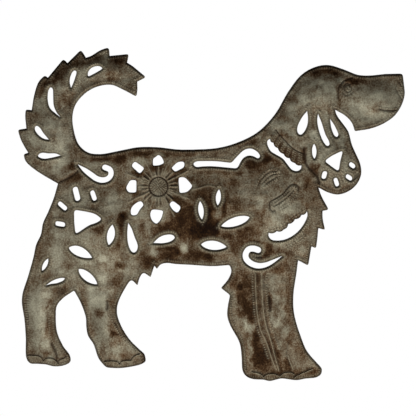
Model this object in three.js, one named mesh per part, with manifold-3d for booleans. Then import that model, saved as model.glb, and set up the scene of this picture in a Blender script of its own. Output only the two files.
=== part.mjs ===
// A wall sculpture of a standing dog with a curled, tufted tail, cut from one sheet of drum steel.
// The outline and every opening are chiselled through the sheet, which is then hammered up from behind
// into low swells. Millimetres, +Z up. The dog looks along +X and its front faces -Y.
// The outline is drawn from the tip of the tail's lowest tuft (x = 0) and the sole of the front foot
// (z = 0). The last step moves the origin to the place where the sheet rests against the wall.
import * as THREE from "three";
import { mergeVertices } from "three/addons/utils/BufferGeometryUtils.js";
import Module from "manifold-3d";

const sheetThickness = 1.2;
const sheetLength = 580;
const sheetHeight = 500;
const hangingPoint = new THREE.Vector2(270, 338.5); // on the band above the long slot in the back

const curveStep = 0.5; // spacing at which curves are first walked
const chordError = 0.15; // how far a straight facet may stray from its curve
const reliefCell = 20; // size of the facets that follow the swells
const reliefMargin = 12; // how far the uncut sheet reaches past the dog on each side
const cuttingDepth = 60; // how far the cuts run, front to back
const roundEndSteps = 12; // straight facets round a half circle or an eased corner

// ---- Drawing a cut line ----
// A cut is a closed list of points. [x, z] lies on a smooth curve, and [x, z, ease] is a corner whose
// tip is rounded off from `ease` mm before it to `ease` mm after it, or left sharp at 0.

const isCorner = (point) => point.length === 3;
const at = ([x, z]) => new THREE.Vector2(x, z);

// A smooth curve through the points, walked in short equal steps.
function walk(points, closed = false) {
  if (points.length === 2) return points.map(at);
  const knots = points.map(([x, z]) => new THREE.Vector3(x, z, 0));
  const curve = new THREE.CatmullRomCurve3(knots, closed, "centripetal");
  const steps = Math.ceil(curve.getLength() / curveStep);
  const walked = curve.getSpacedPoints(steps).map((p) => new THREE.Vector2(p.x, p.y));
  if (closed) walked.pop();
  return walked;
}

// The line of points that is left when its first `distance` is cut away.
function trimStart(line, distance) {
  const step = line[0].distanceTo(line[1]);
  if (distance > step && line.length > 2) return trimStart(line.slice(1), distance - step);
  return [line[0].clone().lerp(line[1], Math.min(distance / step, 0.5)), ...line.slice(1)];
}

const trimEnd = (line, distance) => trimStart([...line].reverse(), distance).reverse();

// Drops the points that lie within `chordError` of the line between their neighbours.
function thin(line) {
  const first = line[0];
  const last = line[line.length - 1];
  const chord = last.clone().sub(first);
  let worst = 0;
  let split = 0;
  for (let i = 1; i < line.length - 1; i += 1) {
    const offset = line[i].clone().sub(first);
    const error = chord.length() > 0 ? Math.abs(chord.cross(offset)) / chord.length() : offset.length();
    if (error > worst) {
      worst = error;
      split = i;
    }
  }
  if (worst < chordError) return [first, last];
  return [...thin(line.slice(0, split + 1)).slice(0, -1), ...thin(line.slice(split))];
}

// The closed polygon of a cut.
function cut(points) {
  const start = points.findIndex(isCorner);
  if (start < 0) {
    const ring = walk(points, true);
    return thin([...ring, ring[0]]).slice(0, -1);
  }
  const round = [...points.slice(start), ...points.slice(0, start), points[start]];
  const corners = round.map((point, i) => (isCorner(point) ? i : -1)).filter((i) => i >= 0);
  const stretches = corners.slice(1).map((end, k) => {
    const run = round.slice(corners[k], end + 1);
    const [before, after] = [run[0][2], run[run.length - 1][2]];
    return trimEnd(trimStart(walk(run), before), after);
  });
  return stretches.flatMap((stretch, k) => {
    const next = stretches[(k + 1) % stretches.length];
    const corner = round[corners[k + 1]];
    const line = thin(stretch);
    if (corner[2] === 0) return line.slice(0, -1);
    const tip = new THREE.QuadraticBezierCurve(line[line.length - 1], at(corner), next[0]);
    return [...line.slice(0, -1), ...thin(tip.getPoints(roundEndSteps)).slice(0, -1)];
  });
}

// A leaf-shaped cut from one tip to the other. The widths are how far it bulges to the left and to the
// right of the line between the tips. A bluntness of 1 is a pointed tip and 0.5 is a round one.
function leaf(from, to, left, right, startBluntness = 0.85, endBluntness = 0.85) {
  const axis = at(to).sub(at(from));
  const across = new THREE.Vector2(-axis.y, axis.x).normalize();
  const fullest = startBluntness / (startBluntness + endBluntness);
  const shape = (t) => t ** startBluntness * (1 - t) ** endBluntness;
  const steps = 40;
  const side = (width) =>
    Array.from({ length: steps + 1 }, (_, i) => {
      const t = (1 - Math.cos((Math.PI * i) / steps)) / 2;
      const bulge = (width * shape(t)) / shape(fullest);
      return at(from).addScaledVector(axis, t).addScaledVector(across, bulge);
    });
  return [...thin(side(left)).slice(0, -1), ...thin(side(-right).reverse()).slice(0, -1)];
}

// A short slot with rounded ends, such as one toe of a paw print. The ends are its furthest points.
function slot(from, to, width) {
  const axis = at(to).sub(at(from)).normalize();
  const side = new THREE.Vector2(-axis.y, axis.x).multiplyScalar(width / 2);
  const ease = width / 2;
  const corner = (end, sign) => [end[0] + sign * side.x, end[1] + sign * side.y, ease];
  return cut([corner(from, 1), corner(to, 1), corner(to, -1), corner(from, -1)]);
}

// A hooked slot that follows a smooth line and widens as it goes. Each point is [x, z, width], the
// first width is 0 and the last end is round.
function hook(points) {
  const line = new THREE.CatmullRomCurve3(points.map((p) => new THREE.Vector3(...p)), false, "centripetal");
  const steps = Math.ceil(line.getLength() / curveStep);
  const edge = (sign) =>
    line.getSpacedPoints(steps).map((p, i) => {
      const ahead = line.getTangentAt(i / steps);
      const across = new THREE.Vector2(-ahead.y, ahead.x).normalize();
      return new THREE.Vector2(p.x, p.y).addScaledVector(across, (sign * p.z) / 2);
    });
  const [left, right] = [edge(1), edge(-1)];
  const [leftEnd, rightEnd] = [left[steps], right[steps]];
  const centre = leftEnd.clone().lerp(rightEnd, 0.5);
  const cap = Array.from({ length: roundEndSteps + 1 }, (_, i) =>
    leftEnd.clone().rotateAround(centre, (-Math.PI * i) / roundEndSteps),
  );
  return [...thin(left).slice(0, -1), ...thin(cap).slice(0, -1), ...thin(right.reverse()).slice(0, -1)];
}

// Fur along one edge of a cut: from each notch to the next runs a round lobe that swells `depth` to the
// right of the line between them, or to its left if `depth` is negative.
function lobes(notches, depth) {
  const steps = 5;
  const roundness = 0.8; // 1 is a half sine wave, and less is a fuller lobe
  return notches.slice(1).flatMap((notch, k) => {
    const from = at(notches[k]);
    const chord = at(notch).sub(from);
    const across = new THREE.Vector2(chord.y, -chord.x).normalize();
    return Array.from({ length: k < notches.length - 2 ? steps : steps + 1 }, (_, i) => {
      const bulge = depth * Math.sin((Math.PI * i) / steps) ** roundness;
      const p = from.clone().addScaledVector(chord, i / steps).addScaledVector(across, bulge);
      return [p.x, p.y, 0];
    });
  });
}

// ---- The outline, clockwise from under the root of the tail ----

const tail = [
  [60, 296, 0], [40, 307.5], [21, 320.3], [11.2, 330.3],
  [8.4, 340.2, 2.5], [15.5, 342.3, 0], // the lowest tuft and the notch after it
  [9.8, 351.6], [4.4, 362], [-0.2, 376.8, 3], [12.7, 378.8, 0],
  [11, 396], [11.6, 407.4, 3], [20.7, 406.2, 0],
  [24, 427], [31, 448.4], [40.5, 458.6, 3], [45, 454.8, 0],
  [68.3, 483, 3.5], [74.5, 476.8, 0],
  [94.6, 496.8, 4], [102.2, 484.8, 0],
  [110, 487.6], [124, 496.2], [136.6, 500.4, 4], [137.6, 487.5, 0],
  [150, 488.6], [166.4, 490.4, 3], [163.8, 477.4, 0],
  [172, 472.2], [192.2, 455.6, 3], [179, 448.9, 0],
  [179.3, 437], [177.8, 426.2, 3], // the end of the curl
  [160, 435.8], [140, 444.2], [117, 440.8], [100, 430.8], [87, 415.5], [82, 398.8], [83, 380], [91, 355],
  [105, 342.8], [123, 340.3],
];

const backAndHead = [
  [150, 344.8], [180, 350.6], [210, 350.6], [240, 347.2], [265, 347.2], [300, 349.6], [330, 358],
  [360, 373.6], [385.6, 400.4], [405.6, 434.6], [425, 459.2], [445, 470.8], [465, 473.9], [490, 466.6],
  [510, 459], [530, 458.2], [550, 460.4], [576.8, 461, 4],
  [579, 443], [579.9, 430], [575.4, 414], [565, 398], [550, 387], [530, 378.8], [505.2, 374.6, 1.5],
  [500.6, 387.4], [490.4, 398.2], [475.3, 406.6, 0], // the cut between jaw and ear
  [478, 398.6], [488.8, 383.8], [495.6, 373.4], [500.6, 354.6], [507.6, 338.8], [513.2, 325.6],
  [514.6, 310], [507.6, 294.6], [495, 284.2], [479.7, 279.6], [464, 283.2], [450.7, 290, 0],
];

const chestAndFrontLeg = [
  [454.8, 278], [466.3, 256.8, 3.5], [456.6, 255.2, 1],
  [457, 243], [460.7, 226.2, 3.5], [450.4, 229.5, 1],
  [449, 214], [447, 198.8, 2.5], [440, 202, 1],
  [438.4, 192], [435.2, 173, 2.5], [420, 181.2, 1.5],
  [417.8, 163], [413.2, 132], [413.2, 108], [417, 88.4], [424.2, 66.8], [433, 45.6], [456.2, 18.8, 3.5],
  [454.4, 10.4], [447.2, 5.6], [431, 3.8], [418, 1.4], [406, 2.7], [395, 4], [387, 2.2], [377.4, 0.1],
  [368, 2.2], [352, 3.1], [342, 7.6], [336.9, 15.5], [335.4, 36], [332.4, 57.2], [318, 84.4],
  [313.8, 98], [314.8, 112.8], [318, 129, 1.5],
];

const bellyAndHindLegs = [
  [304.4, 139.6, 1.5], [315.6, 153.2], [320, 165], [317.4, 174, 1.5],
  [292, 172.2], [260, 174.2], [236, 175.5], [223, 177.1], [213.8, 174.7], [208.4, 168, 1.2],
  [204.6, 173.2, 1.2], [201.6, 164], [198.9, 155.8, 1.2], [188.2, 162], [183, 156], [179.3, 143.4, 1.2],
  [170.2, 151], [160.4, 138.6], [149.6, 115.2], [148.8, 101], [155.6, 81.2], [167.8, 62], [181.2, 48.4],
  [190.2, 40.8, 3], [192.2, 29.4, 3], [184, 25], [174, 22.4], [154, 19.5], [132.4, 20.2, 4],
  [121.2, 33.6], [113.4, 55.4], [105.2, 68], [102.6, 81], [102, 94.8], [94.4, 117.2],
  [84.3, 135.8, 1.2], [68, 124.6], [58.4, 113], [56.8, 96], [58.6, 74], [67.4, 53.2], [78, 38.4],
  [78.4, 28.8], [68, 23.2], [53, 22.2], [42, 25], [30, 25.9], [18.8, 26.6], [12.9, 34], [11.9, 65],
  [9.8, 93.2], [6, 117], [6.6, 129], [9.4, 140], [14, 153], [23.4, 186], [27.4, 204.6], [34.6, 220],
  [37.6, 236.5], [45.2, 253], [54, 275],
];

// ---- The openings ----

const tailOpenings = [
  cut([[46.8, 362, 0], [40, 363], [31, 369], [25.5, 378], [27.5, 382.7], [33, 380], [38, 372.5]]),
  cut([[30, 337.5], [35, 342], [46, 341.2], [56.5, 341.2], [64, 338.2, 0], [50, 334.8], [38, 333.5]]),
  cut([[64, 395.5, 0], [58.3, 402.5], [54, 413], [53.3, 430], [52.5, 438], [49.5, 440.5],
    [46.3, 436.5], [44.9, 423], [48, 409.8], [56, 401.8]]),
  cut([[79.8, 439, 1], [82.5, 445], [87, 457.5], [88, 464], [85, 465.7], [81, 461.5], [78, 449.5]]),
  cut([[105, 456, 2], [105.5, 463], [111, 469.5], [122, 472], [126.7, 468.5], [118, 462.5]]),
  hook([[90, 324.6, 0], [100.3, 316.4, 6.4], [110.2, 309, 8], [118, 303.5, 8], [127, 301.3, 8],
    [135, 303.5, 7.5], [139.7, 310, 7.5], [138.2, 316.9, 7.8], [130.6, 320.4, 8.6]]),
];

// Eight petals round a chased flower on the side of the body.
const petals = [
  cut([[161.8, 289.5, 3.5], [168.2, 301.6, 3.5], [177.7, 301.2, 2.5], [177.5, 282.8, 2.5],
    [165.8, 282.8, 3]]),
  cut([[170, 322.5, 3], [175, 329.8, 3.5], [189.8, 319.2, 2.5], [183, 310.8, 2.5]]),
  cut([[202.6, 323, 1.5], [203, 333.5], [207, 336.3], [210.5, 339], [216, 335], [219.3, 326.6, 2],
    [211, 323.6]]),
  cut([[230.3, 319.6, 1.5], [240, 328.2], [249.9, 329.2, 4], [248.8, 321], [243, 317.5], [235.6, 313.6, 2]]),
  cut([[242.6, 281.8, 2], [241.2, 298], [241, 305.8, 3.5], [250.8, 305.4, 3], [262.2, 292.4, 3], [254, 284]]),
  cut([[227, 265.3, 2], [232, 270.6, 3.5], [245, 261, 4], [239.3, 251.4, 4],
    [231.8, 257.6]]),
  cut([[198.5, 250], [200.5, 257.3, 3], [210, 256.8], [218.3, 255.3, 2], [214.5, 243], [208, 235, 3],
    [201.3, 240.8]]),
  cut([[169.5, 248.5, 3], [169.8, 258.5], [176, 266], [184.7, 270.5, 3], [189, 264, 2], [183, 257.5],
    [178.5, 248.8, 3]]),
];

const hindPaw = [
  cut([[84.6, 256.8, 4], [104, 253.7], [116, 250.4], [127, 242.8, 5], [118, 237.5], [108, 234],
    [99, 228.4], [87, 220.2, 5], [85, 238]]),
  slot([85.2, 291], [90.6, 270.6], 8),
  slot([110.8, 285.6], [116.1, 270.8], 6.7),
  slot([60.9, 267.9], [73.3, 257.2], 6.6),
  slot([56.4, 236.8], [71.2, 234.4], 6.8),
];

const earPaw = [
  cut([[459.3, 329.8, 4], [470.4, 337.6], [487.4, 345.8, 5], [482.9, 330], [480.6, 314.1, 4.5],
    [470, 321.6]]),
  slot([460.8, 314.6], [457.7, 303.3], 6.7),
  slot([475.1, 304.4], [479.3, 292.2], 6.1),
  slot([491.8, 308.5], [500.7, 302.3], 6.4),
  slot([496.9, 326.7], [505.1, 320.3], 6.6),
];

const leaves = [
  leaf([142, 234.5], [136.6, 204.2], 6.3, 5.2),
  cut([[165.4, 237, 0], [170.5, 229], [175, 216], [179.7, 203], [178, 195.5], [174, 192.5],
    [169.3, 195.8], [165.2, 207], [164.2, 222]]),
  cut([[203.3, 207.2, 0], [212, 215.5], [222, 219.3], [232, 219], [235.3, 215], [229, 209.6], [217, 206.8]]),
  leaf([273, 269.6], [276, 242.4], 4, 4),
  leaf([301.5, 287.4], [299.5, 263.6], 3.8, 3.8),
  leaf([305, 232.4], [347, 245.6], 6.6, 6.6, 0.8, 0.7),
  leaf([274.8, 204.8], [312.6, 201.2], 7.4, 6.4, 0.75, 0.85),
  leaf([77, 200], [111.4, 185], 8.4, 6, 0.7, 0.9),
  leaf([45.3, 183.6], [36.4, 165.6], 3.2, 3.2, 0.75, 0.75),
  cut([[42.5, 143.8, 0], [50, 149.3], [56.4, 152.4], [65, 154.6], [70.3, 154.2], [68.4, 151.2],
    [58, 146.8], [50, 145.9]]),
  leaf([91.3, 167.8], [118.8, 145.4], 6, 6.8, 0.7, 0.8),
];

const earOpenings = [
  cut([[433.4, 404.5, 0], [434.9, 392], [432.6, 380], [426.6, 370.8], [422.5, 369.3], [419, 373.5],
    [419, 381], [425.8, 395.2]]),
  cut([[449.8, 400.5, 0], [454.6, 389.6], [460.6, 370.4], [466.5, 358.5], [466.8, 354], [463.5, 352.2],
    [458, 358.5], [452, 373.5], [448.8, 390]]),
  leaf([444, 355.5], [444.5, 333.5], 3.3, 3.3, 0.7, 0.7),
  cut([[468, 393, 0], [474, 384.4], [479.2, 373.6], [480.6, 369], [478, 365.8], [474.5, 368],
    [470, 379]]),
];

// The long slot in the back, the two furred slots of neck and chest, and the hook above the front leg.
const bodySlots = [
  cut([[263, 325.8], [267, 329], [280, 329.8], [298, 329.5], [320, 327, 2], [330, 338], [340, 346.8],
    [350, 348.4], [360, 342.6], [363, 336.5], [360, 333.8], [354, 336.8], [346, 338.2], [338, 334.5],
    [328.6, 318.8, 3], [310, 320.6], [290, 322.2], [276, 321.8], [267, 321.2]]),
  cut([[374.4, 361], [373.6, 356], [379, 344.6], [388, 339], [397, 333.6], [404, 325],
    [411, 316.8], [419, 314.9], [424.6, 318.8],
    ...lobes([[425, 323.3], [415, 327.2], [407.4, 334], [398.5, 340.3], [389.4, 349.2], [383, 357],
      [377.8, 362.8]], -2)]),
  cut([[375.4, 218.4], [380, 212.2], [394, 211], [408, 215.6], [420.6, 225], [430, 237.7], [434.2, 249],
    ...lobes([[433.2, 254.6], [425.2, 249.1], [415.3, 242.6], [405, 235.4], [398, 227.1], [388, 224.8],
      [375.8, 222.2]], -2.1)]),
  hook([[396, 187.4, 0], [384, 180.3, 4.4], [372, 174.5, 6.8], [360, 172.9, 8.2], [348.5, 177, 8.6],
    [342, 184, 8.6], [341.5, 190.8, 8.6], [346, 197.7, 8.6], [353.5, 198.7, 9], [360.2, 196.6, 9]]),
];

const openings = [tailOpenings, petals, hindPaw, earPaw, leaves, earOpenings, bodySlots].flat();

// ---- The hammered relief ----
// Each swell is a smooth low mound: its centre, half length, half width, turn in degrees and height.

const swells = [
  { centre: [112, 222], half: [84, 74], turn: 0, height: 7 }, // thigh
  { centre: [262, 262], half: [92, 54], turn: 0, height: 5 }, // side and belly
  { centre: [372, 262], half: [62, 84], turn: 0, height: 6.5 }, // shoulder and chest
  { centre: [392, 372], half: [80, 44], turn: 62, height: 4.5 }, // neck
  { centre: [456, 430], half: [62, 42], turn: 10, height: 5.5 }, // head
  { centre: [536, 424], half: [46, 32], turn: -12, height: 4.5 }, // muzzle
  { centre: [474, 332], half: [58, 36], turn: 105, height: 5 }, // ear
  { centre: [368, 84], half: [92, 42], turn: 96, height: 6 }, // front leg
  { centre: [134, 84], half: [74, 26], turn: 102, height: 5.5 }, // near hind leg
  { centre: [34, 92], half: [76, 22], turn: 92, height: 4.5 }, // far hind leg
  { centre: [44, 372], half: [66, 34], turn: 80, height: 4.5 }, // tail, rising
  { centre: [66, 444], half: [52, 26], turn: 58, height: 4.5 }, // tail, turning
  { centre: [126, 468], half: [54, 22], turn: 0, height: 4 }, // tail, curling over
];

// The height of one swell at a point: it falls smoothly from its centre to nothing at its rim.
function swellAt(x, z, { centre, half, turn, height }) {
  const local = new THREE.Vector2(x, z).sub(at(centre));
  local.rotateAround(new THREE.Vector2(), -THREE.MathUtils.degToRad(turn));
  const r2 = (local.x / half[0]) ** 2 + (local.y / half[1]) ** 2;
  return r2 < 1 ? height * (1 - r2) ** 2 : 0;
}

const reliefAt = (x, z) => swells.reduce((sum, swell) => sum + swellAt(x, z, swell), 0);

// ---- Making the sheet ----

function solidOf(geometry) {
  geometry.deleteAttribute("normal");
  geometry.deleteAttribute("uv");
  const merged = mergeVertices(geometry, 1e-4);
  return new wasm.Manifold(
    new wasm.Mesh({
      numProp: 3,
      vertProperties: merged.attributes.position.array,
      triVerts: new Uint32Array(merged.index.array),
    }),
  );
}

// The outline with its openings, run through well past both faces of the sheet.
function cutBlock() {
  const outline = cut([...tail, ...backAndHead, ...chestAndFrontLeg, ...bellyAndHindLegs]);
  const shape = new THREE.Shape(outline.reverse()); // the way round that lets openings run either way
  shape.holes = openings.map((opening) => new THREE.Path(opening));
  const block = new THREE.ExtrudeGeometry(shape, { depth: cuttingDepth, bevelEnabled: false });
  return block.rotateX(Math.PI / 2).translate(0, cuttingDepth / 2, 0);
}

// The uncut sheet: a flat plate pushed forward by the swells on both of its faces.
function hammeredSheet() {
  const width = sheetLength + 2 * reliefMargin;
  const height = sheetHeight + 2 * reliefMargin;
  const columns = Math.round(width / reliefCell);
  const rows = Math.round(height / reliefCell);
  const sheet = new THREE.BoxGeometry(width, sheetThickness, height, columns, 1, rows);
  sheet.translate(sheetLength / 2, -sheetThickness / 2, sheetHeight / 2);
  const place = sheet.attributes.position;
  for (let i = 0; i < place.count; i += 1) {
    place.setY(i, place.getY(i) - reliefAt(place.getX(i), place.getZ(i)));
  }
  return sheet;
}

const wasm = await Module();
wasm.setup();

const solid = solidOf(cutBlock()).intersect(solidOf(hammeredSheet())).getMesh();
const geometry = new THREE.BufferGeometry();
geometry.setAttribute("position", new THREE.BufferAttribute(solid.vertProperties, 3));
geometry.setIndex(new THREE.BufferAttribute(solid.triVerts, 1));
geometry.translate(-hangingPoint.x, 0, -hangingPoint.y);
geometry.computeVertexNormals();

const drumSteel = new THREE.MeshStandardMaterial({ color: 0x5f5546, roughness: 0.5, metalness: 0.8 });
const dog = new THREE.Mesh(geometry, drumSteel);
dog.name = "dog";

const sculpture = new THREE.Group();
sculpture.add(dog);
export default sculpture;
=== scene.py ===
import bpy
import numpy as np
from mathutils.geometry import delaunay_2d_cdt
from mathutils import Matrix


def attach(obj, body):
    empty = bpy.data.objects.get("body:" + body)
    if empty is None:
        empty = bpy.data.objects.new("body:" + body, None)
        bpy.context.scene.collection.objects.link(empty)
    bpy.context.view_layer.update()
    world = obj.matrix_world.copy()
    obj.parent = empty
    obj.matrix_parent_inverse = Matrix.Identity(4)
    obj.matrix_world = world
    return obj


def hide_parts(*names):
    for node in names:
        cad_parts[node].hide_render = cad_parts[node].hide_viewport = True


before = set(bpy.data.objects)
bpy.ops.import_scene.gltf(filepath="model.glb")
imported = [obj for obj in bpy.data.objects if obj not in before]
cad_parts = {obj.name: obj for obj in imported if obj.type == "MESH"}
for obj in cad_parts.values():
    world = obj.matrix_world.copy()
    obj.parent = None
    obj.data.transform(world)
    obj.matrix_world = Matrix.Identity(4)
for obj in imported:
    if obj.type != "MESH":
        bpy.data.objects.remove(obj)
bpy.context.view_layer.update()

# ---- The sheet and its cut edges ----
# The dog is one piece of steel about 1.2 mm thick, flattened from an oil drum. Its outline and its openings
# are chiselled right through it. Lengths here are millimetres on the drawing of the dog, with x from the
# lowest tuft of the tail and z from the sole of the front foot.
hanging_point = np.array([270.0, 338.5])
sheet_thickness = 1.2
edge_step = 1.0
stroke_pitch = 3.5
stroke_step = stroke_pitch / 4
furthest = 12  # distances to cuts and lines are looked for up to here


def cut_loops(node):
    """The closed lines where the front of the CAD sheet meets its cut walls, with the metal on their left.

    A front triangle's edge is on a cut when no front triangle uses it the other way round. Each such edge
    gives its start the point that comes next. Doubling the jump from point to point gives every point the
    lowest number in its loop, and then how many steps are left before the loop comes round to that one."""
    mesh = node.data
    place = np.empty(len(mesh.vertices) * 3, np.float32)
    mesh.vertices.foreach_get("co", place)
    mesh.calc_loop_triangles()
    corners = np.empty(len(mesh.loop_triangles) * 3, np.int32)
    mesh.loop_triangles.foreach_get("vertices", corners)
    points, same = np.unique(np.round(place.reshape(-1, 3) * 1e5), axis=0, return_inverse=True)
    triangles = same.ravel()[corners].reshape(-1, 3)
    a, b, c = (points[triangles[:, k]] for k in range(3))
    facing = np.cross(b - a, c - a)
    front = triangles[facing[:, 1] < -0.5 * np.linalg.norm(facing, axis=1)]
    start, end = front.ravel(), np.roll(front, -1, axis=1).ravel()
    total = len(points)
    on_cut = ~np.isin(start * total + end, end * total + start)
    start, end = start[on_cut], end[on_cut]
    after = np.arange(total)
    after[start] = end
    label, jump = np.arange(total), after.copy()
    for _ in range(int(np.log2(total)) + 1):
        label = np.minimum(label, label[jump])
        jump = jump[jump]
    last = label[after] == after
    jump = np.where(last, np.arange(total), after)
    left = np.where(last, 0, 1)
    for _ in range(int(np.log2(total)) + 1):
        left = left + left[jump]
        jump = jump[jump]
    flat = points[:, [0, 2]] / 100 + hanging_point
    order = start[np.lexsort((-left[start], label[start]))]
    ends = np.flatnonzero(np.diff(label[order])) + 1
    return [flat[loop] for loop in np.split(order, ends)]


def spaced(line, step, closed=False):
    """Points at even distances of about `step` along a line. The number of steps is a multiple of four."""
    if closed:
        line = np.vstack([line, line[:1]])
    run = np.append(0, np.cumsum(np.hypot(*np.diff(line, axis=0).T)))
    count = 4 * max(1, round(run[-1] / step / 4))
    places = np.linspace(0, run[-1], count + 1)[: -1 if closed else None]
    return np.column_stack([np.interp(places, run, line[:, k]) for k in (0, 1)])


def strokes(line):
    """How far each point of an evenly spaced line stands on a stroke: 1 on it, 0 between two strokes."""
    return (1 + np.cos(np.arange(len(line)) * np.pi / 2)) / 2


def eased(line, passes=3):
    """The line with its facets smoothed: each point moves halfway to the middle of its two neighbours,
    a few times over. The two ends stay."""
    line = line.copy()
    for _ in range(passes):
        line[1:-1] = line[1:-1] / 2 + (line[:-2] + line[2:]) / 4
    return line


def cut_line(loop, sharp=45):
    """A cut walked in even steps, smooth between the corners where it turns by more than `sharp` degrees."""
    loop = loop[np.hypot(*(loop - np.roll(loop, 1, axis=0)).T) > 0.15]
    ahead = np.roll(loop, -1, axis=0) - loop
    heading = np.arctan2(ahead[:, 1], ahead[:, 0])
    turn = (heading - np.roll(heading, 1) + np.pi) % (2 * np.pi) - np.pi
    corners = np.flatnonzero(np.abs(turn) > np.radians(sharp))
    if len(corners) == 0:
        round_cut = spaced(loop, edge_step, closed=True)
        return eased(np.vstack([round_cut[-8:], round_cut, round_cut[:8]]))[8:-8]
    loop = np.roll(loop, -corners[0], axis=0)
    ends = np.append(corners - corners[0], len(loop))
    loop = np.vstack([loop, loop[:1]])
    stretches = [eased(spaced(loop[i : j + 1], edge_step)) for i, j in zip(ends, ends[1:])]
    return np.vstack([stretch[:-1] for stretch in stretches])


cuts = [cut_line(loop) for loop in cut_loops(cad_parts["dog"])]
edge = np.vstack(cuts)
edge_ahead = np.vstack([np.roll(cut, -1, axis=0) - np.roll(cut, 1, axis=0) for cut in cuts])


def nearest(points, others, reach):
    """How far each point is from the nearest of the others, at most `reach`, and which one that is.

    Both are sorted into square tiles `reach` wide. A tile's number counts down its column and then on to
    the next column, so the nine tiles around it are three runs of the sorted others."""
    apart = np.full(len(points), float(reach))
    which = np.zeros(len(points), int)
    if len(points) == 0:
        return apart, which
    column = 1000
    number, other_number = (
        np.floor(some / reach).astype(int) @ np.array([column, 1]) + 50 * column + 50
        for some in (points, others)
    )
    order = np.argsort(other_number, kind="stable")
    arranged = other_number[order]
    tiles, member = np.unique(number, return_inverse=True)
    by_tile = np.split(np.argsort(member, kind="stable"), np.cumsum(np.bincount(member))[:-1])
    lows = np.searchsorted(arranged, tiles[:, None] + np.array([-column, 0, column]) - 1)
    highs = np.searchsorted(arranged, tiles[:, None] + np.array([-column, 0, column]) + 2)
    for inside, low, high in zip(by_tile, lows, highs):
        around = np.concatenate([order[i:j] for i, j in zip(low, high)])
        if len(around) == 0:
            continue
        gap = np.hypot(
            points[inside, 0, None] - others[around, 0], points[inside, 1, None] - others[around, 1]
        )
        closest = gap.argmin(axis=1)
        here = gap[np.arange(len(inside)), closest]
        found = here < reach
        apart[inside[found]] = here[found]
        which[inside[found]] = around[closest[found]]
    return apart, which


def beside(line, distance, closed=True):
    """The line moved to its left by `distance`, and pointed where it turns away from that side.

    Each point moves along the mean of its two sides' normals, further at a corner, so that both sides
    end up `distance` away, but never more than 2.4 times as far."""
    ahead = np.roll(line, -1, axis=0) - line
    if not closed:
        ahead[-1] = ahead[-2]
    ahead /= np.maximum(np.hypot(*ahead.T), 1e-9)[:, None]
    side = np.column_stack([-ahead[:, 1], ahead[:, 0]])
    before = np.roll(side, 1, axis=0)
    if not closed:
        before[0] = side[0]
    both = side + before
    longest = 2.4
    return line + distance * both / np.maximum((both**2).sum(axis=1) / 2, 2 / longest**2)[:, None]


# ---- The pressed borders ----
# Beside nearly every cut runs a border of close chisel strokes, a raised bead 2 mm wide set 4 mm in from
# the edge. Between it and the edge the steel is beaten down to the wall in a dark slope.
bead_from_edge = 4.0
line_from_edge = 2.2  # chased lines stop this far from a cut
flower = np.array([210.9, 291.6])
# The furred sides of the neck and chest slots have a ruffle of strokes instead of a bead.
ruffle_sides = [
    np.array([[425, 323.3], [407.4, 334], [389.4, 349.2], [377.8, 362.8]]),
    np.array([[433.2, 254.6], [415.3, 242.6], [398, 227.1], [375.8, 222.2]]),
]


def clear_of_edges(line, distance):
    """True for the points of a line that keep `distance` from every cut, not only from their own."""
    return nearest(line, edge, distance + 2)[0] > distance - 0.2


def border(chosen, distance):
    """The even points of the lines beside some cuts, and how far each stands on a stroke."""
    lines = [spaced(beside(cut, distance), stroke_step, closed=True) for cut in chosen]
    on_stroke = np.concatenate([strokes(line) for line in lines])
    line = np.vstack(lines)
    keep = clear_of_edges(line, distance)
    return line[keep], on_stroke[keep]


# A petal is an opening near the flower's middle and not long round. The petals have no bead.
flower_reach = 60
longest_petal = 100
is_petal = [
    np.hypot(*(cut.mean(axis=0) - flower)) < flower_reach and len(cut) * edge_step < longest_petal
    for cut in cuts
]
ruffle_points = np.vstack([spaced(side, stroke_step) for side in ruffle_sides])
bead_line, bead_stroke = border([cut for cut, petal in zip(cuts, is_petal) if not petal], bead_from_edge)
ruffle_reach = 6.9
kept = nearest(bead_line, ruffle_points, ruffle_reach + 0.1)[0] > ruffle_reach
bead_line, bead_stroke = bead_line[kept], bead_stroke[kept]

# ---- The chased drawing ----
# Flower, toes, face, fur and the lines down the legs are drawn into the front with blunt chisels. A
# stitched line is a row of short strokes, a ridge runs without a break, a scored line is a fine groove, a
# crease a deeper one, and a fold the widest.


def curve(points, steps=12):
    """A smooth line through the points: between two of them runs the cubic of Catmull and Rom."""
    points = np.asarray(points, float)
    if len(points) == 2:
        return points
    p = np.vstack([2 * points[0] - points[1], points, 2 * points[-1] - points[-2]])
    t = np.linspace(0, 1, steps, endpoint=False)[None, :, None]
    p0, p1, p2, p3 = (p[k : len(p) - 3 + k][:, None] for k in range(4))
    bend = 2 * p1 + (p2 - p0) * t
    bend = bend + (2 * p0 - 5 * p1 + 4 * p2 - p3) * t**2 + (3 * p1 - p0 - 3 * p2 + p3) * t**3
    return np.vstack([(bend / 2).reshape(-1, 2), points[-1:]])


def ring(centre, radius, start=0.0):
    """A circle as a closed line, from a starting angle."""
    angle = start + np.linspace(0, 2 * np.pi, 73)
    return np.asarray(centre) + radius * np.column_stack([np.cos(angle), np.sin(angle)])


def spoke(centre, degrees, inner, outer):
    """A straight line away from a centre, from one radius to another."""
    way = np.array([np.cos(np.radians(degrees)), np.sin(np.radians(degrees))])
    return np.asarray(centre) + np.outer([inner, outer], way)


def between(first, second, count, inset=0.0):
    """Straight lines from one line to another, evenly spaced along both."""
    a, b = (spaced(curve(line), 0.2) for line in (first, second))
    share = (np.arange(count) + 0.5) / count
    a, b = (line[(share * (len(line) - 1)).astype(int)] for line in (a, b))
    return [np.array([p + (q - p) * inset, q - (q - p) * inset]) for p, q in zip(a, b)]


stitched = []
ridged = []
scored = []
creased = []
folded = []

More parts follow.
